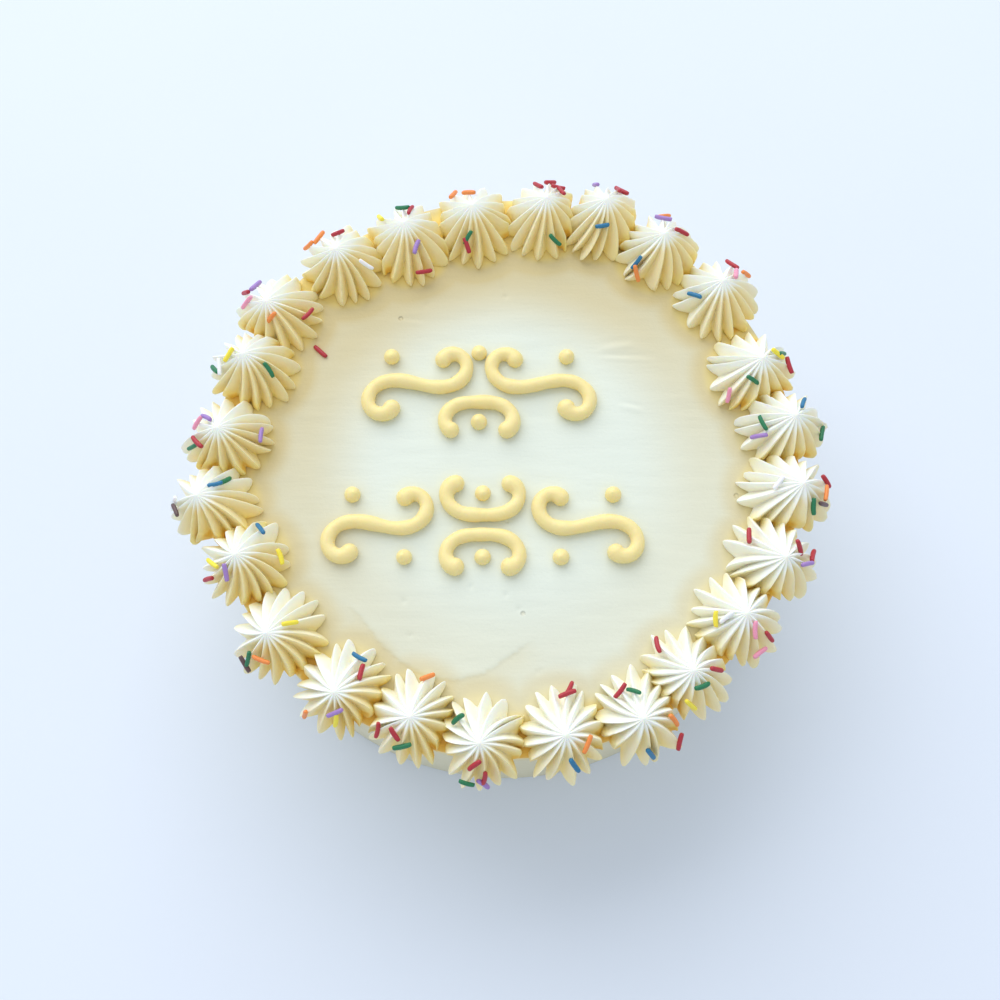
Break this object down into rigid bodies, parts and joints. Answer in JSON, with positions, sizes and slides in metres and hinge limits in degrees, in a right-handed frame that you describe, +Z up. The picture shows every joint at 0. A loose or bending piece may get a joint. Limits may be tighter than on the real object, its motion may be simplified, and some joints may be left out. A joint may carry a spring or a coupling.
{
  "type": "iced birthday cake",
  "caption": "Round, smoothly iced birthday cake with a ring of ridged piped rosettes strewn with sugar sprinkles and two rows of piped scrollwork on top.",
  "frame": {"origin": "middle of the flat underside, on the surface that the cake stands on", "axes": "+Z up, through the middle of the top; -Y is the front, the side nearest the reader of the top; +X is to that reader's right"},
  "size_m": [0.2341, 0.2267, 0.0913],
  "materials": {
    "smooth_icing": "satin",
    "piped_cream": "satin",
    "yellow_cream": "satin"
  },
  "bodies": {
    "root": {"cake": "smooth_icing", "rosette_01": "piped_cream", "rosette_02": "piped_cream", "rosette_03": "piped_cream", "rosette_04": "piped_cream", "rosette_05": "piped_cream", "rosette_06": "piped_cream", "rosette_07": "piped_cream", "rosette_08": "piped_cream", "rosette_09": "piped_cream", "rosette_10": "piped_cream", "rosette_11": "piped_cream", "rosette_12": "piped_cream", "rosette_13": "piped_cream", "rosette_14": "piped_cream", "rosette_15": "piped_cream", "rosette_16": "piped_cream", "rosette_17": "piped_cream", "rosette_18": "piped_cream", "rosette_19": "piped_cream", "rosette_20": "piped_cream", "rosette_21": "piped_cream", "rosette_22": "piped_cream", "rosette_23": "piped_cream", "rosette_24": "piped_cream", "upper_scroll_1": "yellow_cream", "upper_scroll_2": "yellow_cream", "upper_scroll_3": "yellow_cream", "upper_pearl_1": "yellow_cream", "upper_pearl_2": "yellow_cream", "upper_pearl_3": "yellow_cream", "upper_pearl_4": "yellow_cream", "lower_scroll_1": "yellow_cream", "lower_scroll_2": "yellow_cream", "lower_scroll_3": "yellow_cream", "lower_scroll_4": "yellow_cream", "lower_pearl_1": "yellow_cream", "lower_pearl_2": "yellow_cream", "lower_pearl_3": "yellow_cream", "lower_pearl_4": "yellow_cream", "lower_pearl_5": "yellow_cream", "lower_pearl_6": "yellow_cream"}
  },
  "joints": []
}
